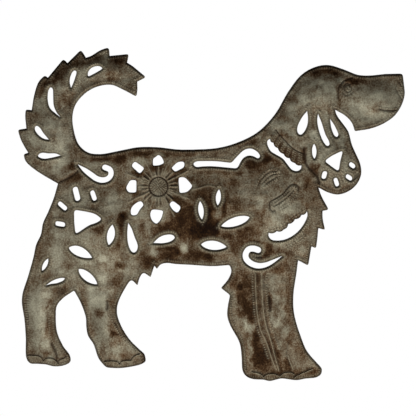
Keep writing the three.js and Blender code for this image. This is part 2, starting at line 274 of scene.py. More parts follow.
# The flower: a disc filled with rings of strokes, with ridges out of it between and towards its petals.
creased.append(ring(flower, 14.0))
stitched += [ring(flower, radius, 2.4 * radius) for radius in (1.5, 3.8, 6.1, 8.4, 10.7, 12.6)]
for petal in range(8):
    long_ray = 45 * petal + 28 - 5 * (petal % 2)
    ridged += [
        spoke(flower, long_ray, 16, 50 if petal % 4 != 1 else 34),
        spoke(flower, 45 * petal, 16, 30),
        spoke(flower, 45 * petal - 14, 16, 22 + 3 * (petal % 3)),
        spoke(flower, 45 * petal + 14, 16, 26 - 2 * (petal % 3)),
    ]
    scored += [spoke(flower, 45 * petal + spread, 18, 26) for spread in (-7, 7)]
creased += [
    spoke(flower, degrees, 20, outer)
    for degrees, outer in ((7, 28), (35, 31), (97, 28), (142, 26), (322, 29), (304, 28))
]

# Two tongues of fur on the shoulder, the lower one with a stitched hem, the upper one of loose strokes.
hem_inner = [[387, 262.5], [394, 266.5], [402, 272.5], [409, 279], [414.5, 286]]
hem_outer = [[390.5, 258.5], [398, 262.5], [406, 268.5], [413, 274.5], [419.5, 281]]
creased += [
    curve([
        [384.5, 255.5], [381, 255], [378, 258.5], [376.8, 264], [378.2, 269], [384, 273], [391, 277],
        [398, 282], [403.5, 289], [408.5, 294], [413.5, 295.5], [418, 294.5], [420.5, 290.5], [420, 285],
    ]),
]
stitched += [
    curve([[383, 260], [380.3, 263.5], [382, 268.5], [388, 272.5], [396, 277.5], [402, 283], [407, 289.5],
        [412, 291.7], [416.6, 290], [417, 285.5]]),
    curve(hem_inner),
    curve(hem_outer),
    curve([[392, 254.5], [399.5, 258.5], [407.5, 264.5], [414.5, 270.5], [421, 277]]),
]
ridged += [
    curve([[385, 265.5], [393, 271], [401, 276.5], [408, 283.5], [412, 287.5]]),
]
scored += [
    curve([[384, 262.5], [393, 268], [401.5, 274], [409, 281], [413.5, 286]]),
    curve([[384.5, 268.2], [392, 273.2], [399.5, 278.7], [406, 285.5]]),
]
stitched += [
    curve([[391, 315.5], [384.5, 317.5], [377.5, 317], [371.5, 314], [364.5, 307], [359.5, 299], [355.5, 289],
        [354, 280]]),
    curve([[388, 312.5], [379, 312], [372.5, 308], [366, 300.5], [360.5, 291.5]]),
    curve([[390.5, 309.5], [383, 308], [376, 303.5], [369, 296.5]]),
    curve([[392, 312], [391.5, 306], [385, 301.5], [377, 297], [369.5, 291]]),
]
scored += [
    curve([[386.5, 315], [378, 314.5], [369.5, 308], [363, 299.5], [358.5, 290]]),
    curve([[387, 310.5], [379.5, 308.5], [372.5, 303.5], [366, 296]]),
    curve([[387.5, 306], [379.5, 301.5], [372, 296]]),
]

# The ruffle of fur beside the neck slot, pleated up to a curved line, and the strokes over the chest slot.
ruffle_top = np.array([
    [387, 376], [391.5, 369.5], [398.5, 362.5], [408, 352.5], [417.5, 345.5], [427, 341.5],
])
creased.append(curve(ruffle_top))
pleats = between(ruffle_sides[0][::-1], ruffle_top, 17, 0.1)
scored += pleats[2::3]
stitched += pleats[0::3] + pleats[1::3]
chest_top = ruffle_sides[1] + [-4, 8]
stitched += between(ruffle_sides[1], chest_top, 13, 0.25)
stitched += between([[398, 205], [414, 212], [428, 223]], [[403, 198], [419, 206], [433, 217]], 8, 0.1)

# The face: a round eye under a creased brow, a nose and a mouth line.
creased += [
    curve([[479.5, 424], [480, 432], [480.3, 439], [483.5, 445], [488.5, 450], [495, 453], [501, 454.5]]),
    curve([[488, 440.5], [489.5, 444], [493.5, 446], [498, 445]]),
    curve([[541, 407.8], [548, 406], [556, 405.5], [564, 405.7], [571.5, 406.8]]),
]
scored += [
    ring([494.7, 438.2], 5.2),
    curve([[569, 451], [572, 446], [575.5, 442]]),
    curve([[567, 444], [566.5, 438], [569, 432.5], [572.5, 426], [575.5, 421.5]]),
    curve([[487, 432], [491, 428.5], [497, 429.5], [502, 433.5]]),
]
stitched += [
    ring([494.7, 438.6], 2.2),
    curve([[540, 410.5], [548, 408.6], [556, 408], [564, 408.3], [570, 409.5]]),
    curve([[570.5, 453], [574, 448], [577, 443.5]]),
]

# Toes: short arcs over each foot.
toe_arcs = [
    [[350.6, 14.8], [357.8, 14], [363.4, 12], [366.6, 10]],
    [[367.8, 6.8], [369.8, 9.2], [374.6, 11.6], [380.2, 12.2], [385.8, 11.8], [389.8, 10]],
    [[392.2, 7.6], [394.6, 10.8], [399.4, 13.4], [405, 14.4], [410.6, 13.8], [413.8, 11.6]],
    [[413.8, 5.2], [416.2, 8.4], [421, 10.8], [425.8, 13.2], [429, 14.4], [441, 19.6]],
    [[129, 30], [133.4, 30.8], [139, 31.2], [145.4, 30.8], [149.4, 29.6], [152.2, 26.4]],
    [[152.6, 26.4], [155, 30], [159, 31.4], [165.4, 32], [170.2, 32]],
    [[170.2, 32.4], [172.6, 36.4], [176.6, 39.6], [180.6, 41], [183, 41.6]],
    [[12.4, 34], [14, 38], [18.8, 39.6], [26, 39.2], [31.6, 38.4], [35.6, 35.2], [38, 31.6]],
    [[38, 30.4], [41.2, 34], [45.2, 35.2], [50, 35.2], [54.8, 33.2], [58.8, 30], [60.4, 26.8]],
    [[60.4, 30], [63.6, 33.2], [68.4, 34.8], [72.4, 37.2]],
]
creased += [curve(arc) for arc in toe_arcs]
ridged += [curve(arc) - [0, 1.9] for arc in toe_arcs]

# Long lines down the legs, and a second bead up the back of the front leg.
ridged += [
    curve([[355.5, 163], [356.4, 135], [357.4, 114], [359.6, 95], [363.9, 76], [372.4, 58], [380.8, 33],
        [387.4, 17]]),
    curve([[365, 161], [365.8, 135], [367.7, 106], [371.4, 84], [378.9, 61], [385.5, 35], [391, 16]]),
    curve([[404.3, 39], [408, 28], [412, 19]]),
]
stitched += [
    curve([[351.5, 160], [352, 138], [353, 118], [355, 97], [359, 78], [367, 58], [375, 35]]),
    curve([[373.5, 161], [372.4, 140], [373.8, 121], [375.5, 104], [378.5, 88], [385, 68], [391, 50]]),
    curve([[321, 128], [320, 103], [327.5, 80], [336, 61.5], [339.7, 43], [341.5, 16]]),
    curve([[141.4, 98], [142.2, 90], [146.2, 82], [151, 74], [155.8, 66], [162, 59.6]]),
    curve([[46.5, 108], [47, 95], [48, 80], [49, 68], [52, 60], [57, 52], [60, 45]]),
]
scored += [
    curve([[360.2, 160], [361, 135], [362.2, 112], [365, 92], [370, 73], [377, 55], [383.5, 36], [388, 24]]),
    curve([[369.3, 160], [369, 135], [370.5, 112], [373.5, 90], [378, 74]]),
    curve([[406, 60], [403, 40], [408, 24]]),
    curve([[146, 88], [150, 82], [160.6, 66], [176.6, 46]]),
]
folded += [
    curve([[377, 128], [379, 118], [378, 106]]),
    curve([[134, 120], [134.5, 114], [134, 108]]),
    curve([[50, 56.4], [54, 48.4], [57.2, 39.6], [58, 34.8]]),
]
# Crosswise strokes up the back of the far hind leg, and a crossed patch inside it.
scored += between(
    [[7.5, 84], [7, 100], [8, 116], [12, 130]],
    [[16.5, 84], [16, 100], [17, 116], [20.5, 128]],
    13,
)
scored += [np.array([[60 + k, 130], [64 + k, 140]]) for k in (0, 3, 6)]
scored += [np.array([[59, 133 + k], [70, 131 + k]]) for k in (0, 3, 6)]
# A ridge that runs on from the flower towards the shoulder.
ridged.append(curve([[262, 287], [272, 289.5], [280, 292], [287, 293], [295, 291]]))

# The fold at the root of the tail, and the one where the ear hangs over the neck.
folded += [
    curve([[62, 298], [72, 303], [82, 309], [90, 315]]),
    curve([[429, 350], [430.5, 338], [431.5, 328], [436.5, 320], [443.5, 313], [449, 306], [452, 297]]),
]


def within_outline(points, coarse=1):
    """True where a ray to the right crosses the cuts an odd number of times."""
    crossings = np.zeros(len(points), int)
    for cut in cuts:
        a = cut[::coarse]
        b = np.roll(a, -1, axis=0)
        for part in np.array_split(np.arange(len(points)), 1 + len(points) * len(a) // 4_000_000):
            x, z = points[part, 0, None], points[part, 1, None]
            spans = (a[:, 1] > z) != (b[:, 1] > z)
            rise = np.where(b[:, 1] == a[:, 1], 1, b[:, 1] - a[:, 1])
            meets = a[:, 0] + (z - a[:, 1]) * (b[:, 0] - a[:, 0]) / rise
            crossings[part] += (spans & (meets > x)).sum(axis=1)
    return crossings % 2 == 1


def inside_metal(points):
    """True where a point lies in the metal: to the left of the piece of cut that is nearest to it."""
    gap, which = nearest(points, edge, furthest)
    offset = points - edge[which]
    inside = edge_ahead[which, 0] * offset[:, 1] - edge_ahead[which, 1] * offset[:, 0] > 0
    far = gap >= furthest
    inside[far] = within_outline(points[far], coarse=6)
    return inside


def chased(lines):
    """All the lines' even points that are clear of the cuts, and how far each stands on a stroke."""
    walked = [spaced(line, stroke_step) for line in lines]
    points = np.vstack(walked)
    on_stroke = np.concatenate([strokes(line) for line in walked])
    keep = inside_metal(points) & clear_of_edges(points, line_from_edge)
    return points[keep], on_stroke[keep]


stitch_line, stitch_stroke = chased(stitched)
ridge_line, _ = chased(ridged)
score_line, _ = chased(scored)
crease_line, _ = chased(creased)
fold_line, _ = chased(folded)

# ---- The hammered relief ----
# The sheet is beaten up from behind into low swells over the muscles, and every border and line stands on
# them. Heights are millimetres off the wall.
slope_width = 2.8
petal_slope_width = 1.3
slope_height = 1.4
swell_share = 0.66  # the swells are a third lower than the CAD sheet's, to leave room for the borders
swells = [
    # centre, half length and half width, turn in degrees, height
    ((112, 222), (84, 74), 0, 7),  # thigh
    ((262, 262), (92, 54), 0, 5),  # side and belly
    ((372, 262), (62, 84), 0, 6.5),  # shoulder and chest
    ((392, 372), (80, 44), 62, 4.5),  # neck
    ((456, 430), (62, 42), 10, 5.5),  # head
    ((536, 424), (46, 32), -12, 4.5),  # muzzle
    ((474, 332), (58, 36), 105, 5),  # ear
    ((368, 84), (92, 42), 96, 6),  # front leg
    ((134, 84), (74, 26), 102, 5.5),  # near hind leg
    ((34, 92), (76, 22), 92, 4.5),  # far hind leg
    ((44, 372), (66, 34), 80, 4.5),  # tail, rising
    ((66, 444), (52, 26), 58, 4.5),  # tail, turning
    ((126, 468), (54, 22), 0, 4),  # tail, curling over
]


def mound(points, centre, half, degrees):
    """A smooth low mound, 1 at its centre and 0 from its rim on: one less the squared radius, squared."""
    x, z = (points - centre).T
    c, s = np.cos(np.radians(degrees)), np.sin(np.radians(degrees))
    return np.maximum(0, 1 - ((x * c + z * s) / half[0]) ** 2 - ((z * c - x * s) / half[1]) ** 2) ** 2


def waves(points, size, seed):
    """A gentle unevenness between about -1 and 1: nine sine waves in scattered directions, added up."""
    chance = np.random.default_rng(seed)
    angle, phase = chance.uniform(0, 2 * np.pi, (2, 9, 1))
    pitch = 2 * np.pi / (size * chance.uniform(0.7, 1.6, (9, 1)))
    along = np.cos(angle) * points[:, 0] + np.sin(angle) * points[:, 1]
    return np.sin(pitch * along + phase).sum(axis=0) / 4


def swell_height(points):
    """The height of the back of the sheet where nothing is pressed into it."""
    return swell_share * sum(height * mound(points, *shape) for *shape, height in swells)


def smooth_step(share):
    """0 below 0, 1 above 1, and a smooth rise between."""
    share = np.clip(share, 0, 1)
    return share * share * (3 - 2 * share)


def bump(gap, width):
    """A round ridge, 1 on its line and falling away on both sides over `width`."""
    return np.exp(-((gap / width) ** 2))


def at_edge(values):
    """One value for each cut, given to each of its points."""
    return np.repeat(values, [len(cut) for cut in cuts])


is_outline = [len(cut) == max(len(other) for other in cuts) for cut in cuts]
width_at_edge = at_edge([petal_slope_width if petal else slope_width for petal in is_petal])
# How bright the wire brush left the border along each cut, and how much painted shade darkens its slope,
# most where the slope faces up into the dark overhead.
brushed_at_edge = at_edge([0.1 if outline else 0.5 for outline in is_outline])
looks_up = np.maximum(0, -edge_ahead[:, 0] / np.hypot(*edge_ahead.T))
painted_shade_at_edge = at_edge([0.35 if outline else 0.2 for outline in is_outline]) + 0.35 * looks_up**2
# No two strokes stand equally proud.
bead_chance = np.random.default_rng(11).uniform(0.35, 1.35, len(bead_line))
stitch_chance = np.random.default_rng(12).uniform(0.35, 1.35, len(stitch_line))


def measured(points):
    """How far points are from cuts, beads and chased lines, how proud the nearest strokes stand, how brushed
    the nearest border is, and how much painted shade its slope gets."""
    to_edge, edge_at = nearest(points, edge, furthest)
    to_bead, bead_at = nearest(points, bead_line, furthest)
    to_stitch, stitch_at = nearest(points, stitch_line, furthest)
    return {
        "edge": to_edge,
        "slope": smooth_step(to_edge / width_at_edge[edge_at]),
        "edge_share": to_edge / width_at_edge[edge_at],
        "bead": to_bead,
        "bead_stroke": (bead_stroke * bead_chance)[bead_at],
        "stitch": to_stitch,
        "stitch_stroke": (stitch_stroke * stitch_chance)[stitch_at],
        "score": nearest(points, score_line, furthest)[0],
        "ridge": nearest(points, ridge_line, furthest)[0],
        "crease": nearest(points, crease_line, furthest)[0],
        "fold": nearest(points, fold_line, furthest)[0],
        "brushed": brushed_at_edge[edge_at],
        "slope_shade": painted_shade_at_edge[edge_at],
    }


# How wide the marks are, from the middle to where little more than a third of the height is left, and how
# high or deep. A fine groove runs on both sides of the bead.
bead_width = 1.25
stitch_width = 0.9
ridge_width = 0.9
score_width = 0.7
crease_width = 0.85
fold_width = 1.3
groove_width = 0.6
groove_from_bead = 2.3
stroke_base = 0.10
stroke_rise = 0.45
ridge_rise = 0.45
groove_depth = 0.15
score_depth = 0.4
crease_depth = 0.8
fold_depth = 0.8


def front_height(points, near):
    """The front face: sheet, swell and slope, with beads and stitches raised, scored lines sunk in, and
    the dents of the hammer over all of it."""
    height = sheet_thickness + swell_height(points) + slope_height * near["slope"]
    height += bump(near["bead"], bead_width) * (stroke_base + stroke_rise * near["bead_stroke"])
    height += bump(near["stitch"], stitch_width) * (stroke_base + stroke_rise * near["stitch_stroke"])
    height += bump(near["ridge"], ridge_width) * ridge_rise
    height -= bump(near["bead"] - groove_from_bead, groove_width) * groove_depth * near["slope"]
    height -= bump(near["score"], score_width) * score_depth
    height -= bump(near["crease"], crease_width) * crease_depth
    height -= bump(near["fold"], fold_width) * fold_depth
    dents = waves(points, 16, 3) * 0.17 + waves(points, 6, 8) * 0.05
    return height + dents * near["slope"]


# ---- Making the sheet's mesh ----
# Points lie in rows along the cuts, borders and chased lines, with a net of triangles between them, fine on
# the front and coarse on the plain back. They are joined by Delaunay's rule.


def thinned(points, gap):
    """The points with at most one in each little square, the first that was given."""
    _, first = np.unique(np.floor(points / gap).astype(int), axis=0, return_index=True)
    return points[np.sort(first)]


def net(step):
    """A net of equal triangles over the whole drawing, its points moved a little off their places."""
    low, high = edge.min(axis=0), edge.max(axis=0)
    rows = np.arange(low[1], high[1], step * np.sqrt(3) / 2)
    columns = np.arange(low[0], high[0], step)
    x, z = np.meshgrid(columns, rows)
    x = x + (np.arange(len(rows)) % 2)[:, None] * step / 2
    points = np.column_stack([x.ravel(), z.ravel()])
    return points + np.random.default_rng(5).uniform(-0.12, 0.12, points.shape) * step


cut_sizes = np.array([len(cut) for cut in cuts])
cut_starts = np.repeat(np.cumsum(cut_sizes) - cut_sizes, cut_sizes)
rim = np.arange(len(edge))
rim_next = cut_starts + (rim - cut_starts + 1) % np.repeat(cut_sizes, cut_sizes)


def joined(inner):
    """Triangles over the cut lines and the inner points, less those that span an opening."""
    points = np.vstack([edge, inner])
    made = delaunay_2d_cdt(points.tolist(), np.column_stack([rim, rim_next]).tolist(), [], 1, 1e-6)
    corners = np.array(made[0])
    triangles = np.array(made[2])
    rim_only = (triangles < len(edge)).all(axis=1)
    keep = np.ones(len(triangles), bool)
    keep[rim_only] = within_outline(corners[triangles[rim_only]].mean(axis=1))
    return corners, triangles[keep]


front_net = 2.25
back_net = 8.0
closest = 0.7
fill_gap = 1.35
beside_line = 1.1
# Every chased line has a row of points on either side, so that the mesh can follow its slopes.
line_sides = np.vstack([
    beside(spaced(line, stroke_step), side, closed=False)
    for line in stitched + ridged + scored + creased + folded
    for side in (-beside_line, beside_line)
])
line_sides = line_sides[inside_metal(line_sides) & clear_of_edges(line_sides, line_from_edge)]
rows = [border(cuts, distance)[0] for distance in (1.0, 1.9, 2.8, bead_from_edge + 1.2)]
drawn = [bead_line, stitch_line, ridge_line, score_line, crease_line, fold_line]
fine = thinned(np.vstack([*drawn, *rows, line_sides]), closest)
fill = net(front_net)
fill = fill[inside_metal(fill)]
fill = fill[nearest(fill, np.vstack([fine, edge]), 3)[0] > fill_gap]
front_points, front_triangles = joined(np.vstack([fine, fill]))

back_fill = net(back_net)
back_fill = back_fill[inside_metal(back_fill) & clear_of_edges(back_fill, 5.5)]
back_points, back_triangles = joined(np.vstack([thinned(border(cuts, 3.4)[0][::3], 1.5), back_fill]))

near_front, near_back = measured(front_points), measured(back_points)


def in_frame(points, height):
    """Points of the drawing and their heights off the wall as places in metres in the frame."""
    x, z = (points - hanging_point).T / 1000
    return np.column_stack([x, -height / 1000, z])


front_place = in_frame(front_points, front_height(front_points, near_front))
back_place = in_frame(back_points, swell_height(back_points) + 0.9 * slope_height * near_back["slope"])
below = len(front_points)
faces = np.vstack([
    front_triangles,
    back_triangles[:, ::-1] + below,
    np.column_stack([rim, below + rim, below + rim_next]),
    np.column_stack([rim, below + rim_next, rim_next]),
])

mesh = bpy.data.meshes.new("dog_sheet")
mesh.from_pydata(np.vstack([front_place, back_place]), [], faces)
mesh.polygons.foreach_set("use_smooth", np.ones(len(faces), bool))
dog = bpy.data.objects.new("dog_sheet", mesh)
bpy.context.scene.collection.objects.link(dog)
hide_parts("dog")
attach(dog, "root")

# ---- Patina and lacquer ----
# The steel is burnt clean, wire-brushed and lacquered. Painted shade darkens the slopes and grooves to
# brown-black, and the brush bares the strokes on the borders. Scale from the fire leaves broad dark and light
# patches, and a few of the patches are painted shade and a painted highlight.
patina_and_light_patches = [
    # centre, half length and half width, turn in degrees, from -1 for black scale to 1 for bright steel; two
    # entries are painted shade and one is a painted highlight
    # Tail.
    ((48, 380), (10, 18), 0, 0.8),
    ((53, 315), (8, 8), 0, 0.5),
    ((98, 482), (9, 6), 0, 0.6),
    ((66, 438), (7, 9), 0, 0.7),
    ((68, 408), (7, 10), 0, 0.4),
    ((50, 455), (8, 7), 0, 0.6),
    ((36, 442), (26, 12), 60, -0.9),
    ((60, 460), (30, 12), 46, -0.8),
    ((29, 398), (8, 7), 0, -0.4),
    ((78, 364), (6, 10), 0, 0.5),
    ((92, 479), (26, 12), 20, -0.6),
    ((118, 483), (20, 8), 6, -0.35),
    ((134, 486), (7, 6), 0, 0.5),
    ((152, 481), (20, 9), -8, -0.8),
    ((35, 414), (16, 18), 0, 0.5),
    ((96, 453), (16, 26), -30, 0.6),
    ((141, 452), (14, 5), 0, -0.7),
    ((162, 451), (12, 7), -25, 0.3),
    ((133, 461), (22, 6), 0, -0.3),
    ((72, 426), (14, 24), -20, -0.3),
    ((57, 410), (9, 20), 15, -0.6),
    ((66, 356), (12, 34), 0, 0.65),
    ((46, 388), (24, 20), 0, 0.4),
    ((34, 360), (30, 13), -28, 0.85),
    ((62, 328), (18, 26), 15, 0.85),
    ((82, 321), (17, 8), 8, -1.0),
    ((68, 315), (7, 9), 0, -0.7),
    ((54, 328), (8, 5), 0, -0.4),
    ((84, 304), (26, 8), 20, -1.0),
    # Back.
    ((330, 318), (9, 10), 0, -0.9),
    ((190, 337), (9, 6), 0, -0.4),
    ((148, 327), (8, 6), 0, -0.5),
    ((216, 338), (9, 5), 0, -0.4),
    ((98, 334), (14, 9), 0, 0.3),
    ((128, 334), (38, 8), 0, -0.9),
    ((172, 341), (34, 9), 5, -0.5),
    ((208, 342), (70, 8), 0, -0.65),
    ((275, 343), (44, 7), 0, -0.5),
    ((249, 327), (11, 8), 0, -0.8),
    ((296, 335), (22, 4), 0, -0.5),
    ((345, 346), (24, 6), 0, -0.5),
    # Painted shade on the up-facing slope below the slot.
    ((300, 321), (40, 5), -2, -1.4),
    ((325, 346), (9, 6), 0, 0.6),
    ((338, 352), (36, 10), 18, -0.6),
    ((113, 323), (14, 8), 20, 0.6),
    ((178, 331), (22, 13), -15, 0.45),
    ((157, 332), (20, 7), 0, -0.5),
    ((150, 292), (16, 14), 0, -0.3),
    ((212, 320), (20, 8), 0, -0.9),
    ((183, 311), (16, 6), -12, -0.9),
    ((240, 314), (18, 9), 25, -0.5),
    ((285, 314), (60, 6), -2, -0.4),
    # Thigh.
    ((60, 252), (9, 9), 0, 0.8),
    ((57, 223), (14, 9), -30, 0.5),
    ((45, 195), (8, 12), 0, 0.4),
    ((128, 183), (9, 8), 0, 0.8),
    ((137, 130), (8, 9), 0, 0.6),
    ((144, 160), (7, 7), 0, 0.6),
    ((115, 143), (8, 6), 0, 0.6),
    ((131, 280), (12, 6), 0, -0.6),
    ((188, 232), (8, 12), 0, -0.6),
    ((149, 208), (7, 14), 15, -0.9),
    ((80, 173), (8, 7), 0, -0.6),
    ((125, 162), (8, 6), 0, -0.5),
    ((158, 172), (8, 7), 0, -0.7),
    ((176, 170), (9, 5), 0, -0.4),
    ((140, 268), (26, 22), 0, 0.4),
    ((156, 233), (9, 26), 0, -1.0),
    ((161, 247), (14, 8), 0, -0.8),
    ((108, 212), (22, 18), 0, 0.4),
    ((118, 226), (14, 8), 20, -0.6),
    ((58, 198), (18, 38), 0, 0.25),
    ((33, 205), (12, 44), 10, -0.4),
    ((86, 275), (28, 18), 0, 0.7),
    ((75, 300), (10, 7), 0, 0.5),
    ((80, 217), (22, 10), -10, 0.5),
    ((111, 221), (10, 7), 0, 0.4),
    ((195, 228), (8, 14), 0, 0.9),
    ((192, 255), (10, 30), 0, 0.3),
    ((176, 279), (6, 18), 0, -0.7),
    ((220, 251), (11, 20), 0, 0.7),
    ((178, 250), (14, 10), 40, 0.7),
    ((215, 275), (12, 9), 0, 0.4),
    ((143, 280), (9, 16), 0, 0.4),
    ((126, 190), (36, 26), 0, 0.3),
    ((60, 178), (14, 34), 0, 0.6),
    ((98, 181), (18, 7), -20, 0.9),
    ((70, 172), (7, 9), 0, -0.6),
    ((78, 158), (18, 24), -10, 0.4),
    ((114, 152), (12, 20), -10, 0.8),
    ((126, 156), (9, 18), 0, 0.9),
    ((140, 140), (7, 9), 0, 0.6),
    ((101, 120), (7, 20), 10, -0.8),
    ((132, 122), (16, 30), 0, 0.5),
    ((143, 162), (8, 12), 0, -0.6),
    ((145, 200), (12, 8), 40, -0.4),
    ((114, 124), (20, 24), 0, 0.8),
    ((148, 150), (22, 9), 45, -0.6),
    ((156, 192), (12, 24), 0, -0.3),
    ((166, 172), (18, 14), 10, 0.6),
    ((168, 194), (10, 12), 0, 0.5),
    ((172, 157), (9, 7), 0, 0.4),
    ((152, 173), (8, 6), 0, -0.8),
    ((186, 190), (9, 10), 0, -0.4),
    ((45, 153), (38, 10), 5, -0.4),
    ((72, 142), (26, 9), 20, -0.35),
    # Side and belly.
    ((205, 191), (12, 7), -20, 0.9),
    ((243, 210), (7, 8), 0, 0.5),
    ((275, 225), (30, 14), 0, -0.6),
    ((313, 217), (12, 6), 0, -1.0),
    ((345, 231), (8, 7), 0, -0.6),
    ((355, 208), (16, 7), 0, -0.7),
    ((222, 200), (20, 5), 2, -0.9),
    ((284, 185), (16, 9), -25, -0.9),
    ((311, 277), (6, 10), 0, -0.7),
    ((266, 232), (62, 32), 4, -1.0),
    ((284, 260), (30, 38), 0, -0.9),
    ((242, 250), (28, 22), 0, -0.5),
    ((242, 270), (14, 8), -25, -0.8),
    ((214, 224), (30, 16), 10, -0.7),
    ((298, 250), (9, 12), 0, 1.0),
    ((262, 301), (9, 6), 0, -0.6),
    ((228, 188), (32, 14), 0, -0.9),
    ((262, 190), (14, 18), 10, -0.7),
    ((197, 176), (16, 13), 0, -0.9),
    ((286, 190), (36, 10), -5, -0.6),
    ((250, 197), (12, 7), -60, 1.3),
    ((243, 186), (8, 6), 0, 0.8),
    ((238, 195), (6, 6), 0, -0.5),
    ((210, 200), (8, 6), 0, -0.6),
    ((297, 228), (8, 16), -15, -0.8),
    ((310, 260), (5, 17), 0, -1.2),
    ((205, 204), (18, 8), -30, 0.6),
    ((322, 278), (14, 28), 0, -0.4),
    ((324, 297), (20, 8), 0, -0.3),
    ((332, 263), (14, 14), 0, -0.4),
    ((318, 220), (16, 7), 0, 0.4),
    ((350, 207), (28, 6), 0, -0.5),
    ((340, 221), (30, 12), 3, -0.7),
    ((325, 202), (18, 14), 0, -0.6),
    # Shoulder and chest.
    ((360, 268), (12, 12), 0, 0.8),
    ((350, 252), (6, 10), 0, 0.6),
    ((408, 260), (18, 14), 0, 0.8),
    ((425, 297), (8, 9), 0, 0.8),
    ((384, 167), (16, 8), -20, -0.8),
    ((405, 188), (12, 7), 0, -0.6),
    ((436, 230), (8, 14), 20, -0.4),
    ((390, 287), (9, 6), -40, -0.4),
    ((352, 330), (34, 12), 6, -1.0),
    ((398, 331), (32, 6), -35, -0.3),
    ((241, 302), (20, 6), 0, -0.6),
    ((270, 283), (16, 7), 0, -0.4),
    ((382, 332), (26, 11), -20, -0.8),
    ((350, 316), (60, 10), 0, -0.3),
    ((436, 286), (26, 36), 0, -0.35),
    ((392, 250), (26, 18), 30, 0.4),
    ((405, 244), (8, 6), 0, -0.5),
    ((433, 235), (8, 14), 20, 0.5),
    ((428, 197), (9, 8), 0, 0.5),
    ((350, 290), (26, 24), 0, 0.3),
    ((383, 272), (18, 22), -30, 0.4),
    ((354, 264), (11, 18), 0, -0.5),
    ((362, 243), (16, 15), 0, -0.5),
    ((410, 212), (40, 10), 10, 0.3),
    ((392, 193), (18, 10), 0, -0.7),
    ((356, 184), (12, 7), 0, -1.4),
    ((406, 195), (9, 8), 0, -0.4),
    ((358, 186), (22, 10), 10, -1.0),
    ((375, 198), (8, 18), -15, -0.9),
    # Neck and head.
    ((446, 370), (14, 7), -20, 1.0),
    ((427, 354), (6, 7), 0, 1.0),
    ((398, 358), (7, 7), 0, 0.5),
    ((418, 390), (7, 7), 0, 0.4),
    ((542, 428), (16, 9), -15, 0.8),
    ((455, 435), (10, 7), 0, 0.4),
    ((431, 420), (7, 8), 0, 0.5),
    ((426, 322), (7, 6), 0, -0.8),
    ((509, 421), (9, 7), 0, -0.6),
    ((560, 403), (12, 6), 20, -0.4),
    ((452, 465), (40, 10), 4, -1.0),
    ((478, 460), (20, 6), -22, -0.5),
    # A painted highlight at the brow beside the eye.
    ((483, 450), (8, 7), 0, 1.2),
    ((433, 440), (14, 6), 25, 0.6),
    ((461, 452), (13, 4), 0, -0.5),
    ((446, 424), (44, 14), 5, 0.5),
    ((450, 447), (26, 8), 0, 0.6),
    ((468, 440), (14, 10), -8, 0.9),
    ((413, 422), (10, 8), 0, -0.8),
    ((481, 432), (6, 24), 3, -0.8),
    ((494, 449), (12, 6), -10, -0.4),
    ((509, 450), (20, 8), -3, -1.0),
    ((556, 444), (20, 7), 0, 0.2),
    ((500, 423), (8, 7), 0, -0.4),
    ((541, 415), (9, 6), 0, -0.4),
    ((573, 430), (6, 10), 0, 0.5),
    ((536, 406), (10, 8), 0, -0.6),
    ((519, 394), (12, 7), -20, 0.4),
    ((524, 412), (64, 34), -5, 0.6),
    ((412, 406), (16, 14), 45, 0.4),
    ((400, 392), (20, 6), -12, -0.5),
    ((392, 382), (34, 14), 10, 0.6),
    ((411, 370), (7, 7), 0, 0.7),
    ((396, 370), (18, 8), -40, -0.5),
    ((368, 374), (16, 9), 35, -0.4),
    ((402, 344), (38, 11), -42, -0.8),
    # Ear.
    ((456, 332), (7, 10), 0, 0.7),
    ((450, 322), (5, 7), 0, -1.1),
    ((449, 364), (12, 14), 0, 1.0),
    ((404, 351), (8, 8), 0, 0.5),
    ((465, 382), (7, 24), 15, 0.9),
    ((483, 362), (8, 22), 12, 0.9),
    ((435, 344), (10, 20), 0, 0.5),
    # Painted shadow of the fold beside the ruffle.
    ((429, 340), (6, 20), 0, -0.9),
    ((445, 315), (18, 8), -48, -0.9),
    ((462, 350), (14, 20), 0, 0.8),
    ((490, 322), (10, 24), 8, 0.6),
    ((431, 295), (6, 12), 0, -0.5),
    ((445, 303), (6, 6), 0, 0.5),
    ((480, 288), (40, 9), 0, -0.4),
    ((508, 330), (8, 40), 8, -0.35),
    # Front leg.
    ((322, 152), (10, 9), 0, -0.9),
    ((340, 133), (7, 12), 0, 0.5),
    ((396, 101), (8, 14), 20, 0.7),
    ((350, 48), (7, 12), 0, 0.5),
    ((350, 91), (9, 8), 0, -1.1),
    ((360, 110), (9, 7), 0, -0.5),
    ((409, 56), (7, 7), 0, -0.5),
    ((441, 14), (12, 10), 0, -0.7),
    ((413, 150), (5, 14), 0, 0.5),
    ((362, 62), (42, 76), 5, -0.45),
    ((345, 105), (20, 15), 0, -1.0),
    ((336, 128), (10, 28), -5, -0.9),
    ((352, 130), (16, 20), 0, -0.6),
    ((332, 142), (20, 7), 0, -0.8),
    ((334, 160), (12, 14), 0, -0.6),
    ((342, 140), (6, 7), 0, 0.6),
    ((347, 126), (6, 8), 0, 0.6),
    ((398, 176), (22, 12), 0, -0.4),
    ((352, 153), (16, 12), 0, -0.6),
    ((407, 112), (9, 60), 0, -0.6),
    ((358, 68), (8, 24), -8, -0.9),
    ((367, 34), (17, 26), 0, -0.9),
    ((378, 118), (4, 16), 0, -0.9),
    ((388, 42), (5, 34), 15, -0.5),
    ((404, 26), (8, 12), 22, -1.0),
    ((422, 42), (18, 20), -30, -0.5),
    ((400, 12), (60, 10), 2, -0.5),
    ((352, 8), (16, 5), -5, -0.6),
    ((345, 84), (11, 16), 0, 0.9),
    ((333, 111), (6, 7), 0, 0.8),
    ((345, 71), (6, 6), 0, -0.5),
    ((383, 160), (8, 14), 0, 0.4),
    ((387, 124), (8, 9), 0, 0.6),
    ((380, 102), (6, 22), 0, 0.6),
    ((402, 76), (8, 12), -20, 0.8),
    ((389, 88), (7, 10), 0, 1.2),
    ((391, 52), (5, 12), 0, 0.6),
    ((347, 52), (4, 26), 0, 0.5),
